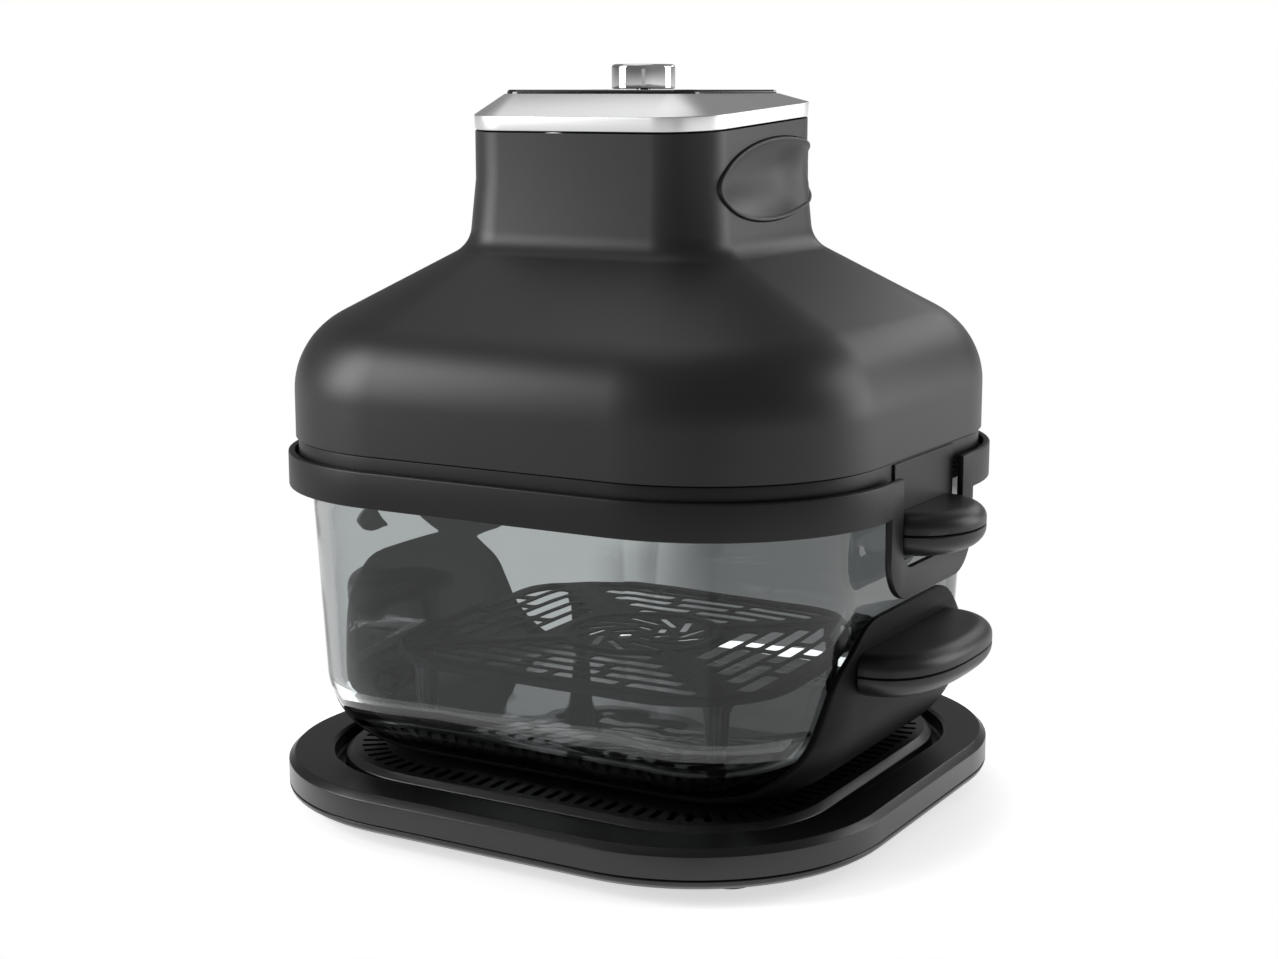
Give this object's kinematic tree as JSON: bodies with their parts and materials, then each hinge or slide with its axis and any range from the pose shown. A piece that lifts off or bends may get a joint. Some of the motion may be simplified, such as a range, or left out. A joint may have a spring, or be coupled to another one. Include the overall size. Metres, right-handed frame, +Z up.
{
  "type": "hot-air fryer",
  "caption": "Glass-bowl hot-air fryer: domed heating head with top knob on a collar, lift-out glass bowl in a handled cradle, slotted crisper plate, round-cornered base plate.",
  "frame": {"origin": "on the table under the centre of the base plate", "axes": "+Z up, front towards -Y, handles on +X and -X"},
  "size_m": [0.338, 0.29, 0.3399],
  "materials": {
    "satin_black": "satin black plastic",
    "soft_black": "matte black plastic",
    "gloss_black": "gloss black plastic",
    "grip_grey": "fine-textured dark grey plastic",
    "satin_silver": "satin silver",
    "chrome": "polished",
    "clear_glass": "clear, slightly grey-blue",
    "nonstick": "satin non-stick coating",
    "silicone": "matte",
    "sheet_steel": "bright sheet steel",
    "element_steel": "dark heat-tinted steel",
    "board_green": "circuit board"
  },
  "bodies": {
    "base": {"back_left_base_screw": "sheet_steel", "back_left_foot": "silicone", "back_right_base_screw": "sheet_steel", "back_right_foot": "silicone", "base_bottom": "soft_black", "base_tray": "satin_black", "front_left_base_screw": "sheet_steel", "front_left_foot": "silicone", "front_right_base_screw": "sheet_steel", "front_right_foot": "silicone"},
    "bowl": {"bowl_cradle": "soft_black", "glass_bowl": "clear_glass", "left_bowl_handle_base": "soft_black", "left_bowl_handle_screw_1": "sheet_steel", "left_bowl_handle_screw_2": "sheet_steel", "left_bowl_handle_top": "soft_black", "right_bowl_handle_base": "soft_black", "right_bowl_handle_screw_1": "sheet_steel", "right_bowl_handle_screw_2": "sheet_steel", "right_bowl_handle_top": "soft_black"},
    "crisper": {"back_left_crisper_foot": "silicone", "back_right_crisper_foot": "silicone", "crisper_plate": "nonstick", "front_left_crisper_foot": "silicone", "front_right_crisper_foot": "silicone"},
    "collar": {"collar_ring": "soft_black", "rim_seal": "silicone"},
    "head": {"control_board": "board_green", "cord_gland": "silicone", "fan_guard": "sheet_steel", "fan_motor": "sheet_steel", "head_housing": "satin_black", "head_ring": "soft_black", "heat_reflector": "sheet_steel", "heating_element": "element_steel", "left_finger_grip": "grip_grey", "left_head_handle_base": "soft_black", "left_head_handle_screw_1": "sheet_steel", "left_head_handle_top": "soft_black", "motor_bracket": "sheet_steel", "right_finger_grip": "grip_grey", "right_head_handle_base": "soft_black", "right_head_handle_screw_1": "sheet_steel", "right_head_handle_top": "soft_black", "rotary_switch": "gloss_black", "thermal_cutout": "soft_black", "top_panel": "gloss_black", "trim_cap": "satin_silver"},
    "knob": {"control_knob": "chrome", "knob_shaft": "sheet_steel"},
    "fan": {"cooling_fan": "sheet_steel", "fan_nut": "sheet_steel", "fan_shaft": "sheet_steel", "hot_air_fan": "sheet_steel"}
  },
  "joints": [
    {"name": "bowl_lift", "type": "slide", "parent": "base", "child": "bowl", "axis": [0, 0, 1], "range_m": [0, 0.1]},
    {"name": "crisper_lift", "type": "slide", "parent": "bowl", "child": "crisper", "axis": [0, 0, 1], "range_m": [0, 0.07]},
    {"name": "collar_lift", "type": "slide", "parent": "bowl", "child": "collar", "axis": [0, 0, 1], "range_m": [0, 0.06]},
    {"name": "head_lift", "type": "slide", "parent": "collar", "child": "head", "axis": [0, 0, 1], "range_m": [0, 0.12]},
    {"name": "knob_turn", "type": "hinge", "parent": "head", "child": "knob", "pos_m": [0, 0, 0.3288], "axis": [0, 0, 1], "range_deg": [-300, 0]},
    {"name": "fan_spin", "type": "hinge", "parent": "head", "child": "fan", "pos_m": [0, 0, 0.2], "axis": [0, 0, 1], "continuous": true}
  ]
}
